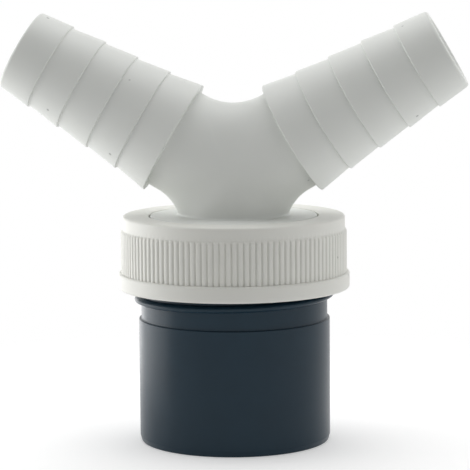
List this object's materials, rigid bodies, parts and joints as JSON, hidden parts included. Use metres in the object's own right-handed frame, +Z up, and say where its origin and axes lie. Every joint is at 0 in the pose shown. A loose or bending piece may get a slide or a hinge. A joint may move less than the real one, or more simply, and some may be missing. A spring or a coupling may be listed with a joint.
{
  "type": "double appliance drain connector",
  "caption": "Y-shaped drain connector with two barbed hose arms, held by a ribbed union nut on a threaded spigot for a waste pipe.",
  "frame": {"origin": "centre of the spigot's lower end, on the spigot's axis", "axes": "+Z up the spigot's axis, X along the spread of the two arms, +Y to the back"},
  "size_m": [0.0972, 0.0484, 0.0894],
  "materials": {
    "dark_pvc": "moulded dark blue-grey PVC, satin",
    "black_rubber": "matt flat rubber",
    "white_branch": "moulded white polypropylene, satin",
    "white_nut": "moulded white polypropylene, satin"
  },
  "bodies": {
    "spigot": {"threaded_spigot": "dark_pvc"},
    "seal": {"sealing_washer": "black_rubber"},
    "branch": {"y_branch": "white_branch"},
    "nut": {"union_nut": "white_nut"}
  },
  "joints": [
    {"name": "branch_swivel", "type": "hinge", "parent": "spigot", "child": "seal", "pos_m": [0, 0, 0.04], "axis": [0, 0, 1], "continuous": true},
    {"name": "branch_lift", "type": "slide", "parent": "seal", "child": "branch", "axis": [0, 0, 1], "range_m": [0, 0.0074]},
    {"name": "nut_turn", "type": "hinge", "parent": "branch", "child": "nut", "pos_m": [0, 0, 0.0474], "axis": [0, 0, 1], "range_deg": [0, 1140]}
  ],
  "couplings": [
    {"joint": "branch_lift", "follows": "nut_turn", "m_per_rad": 0.00036749}
  ]
}
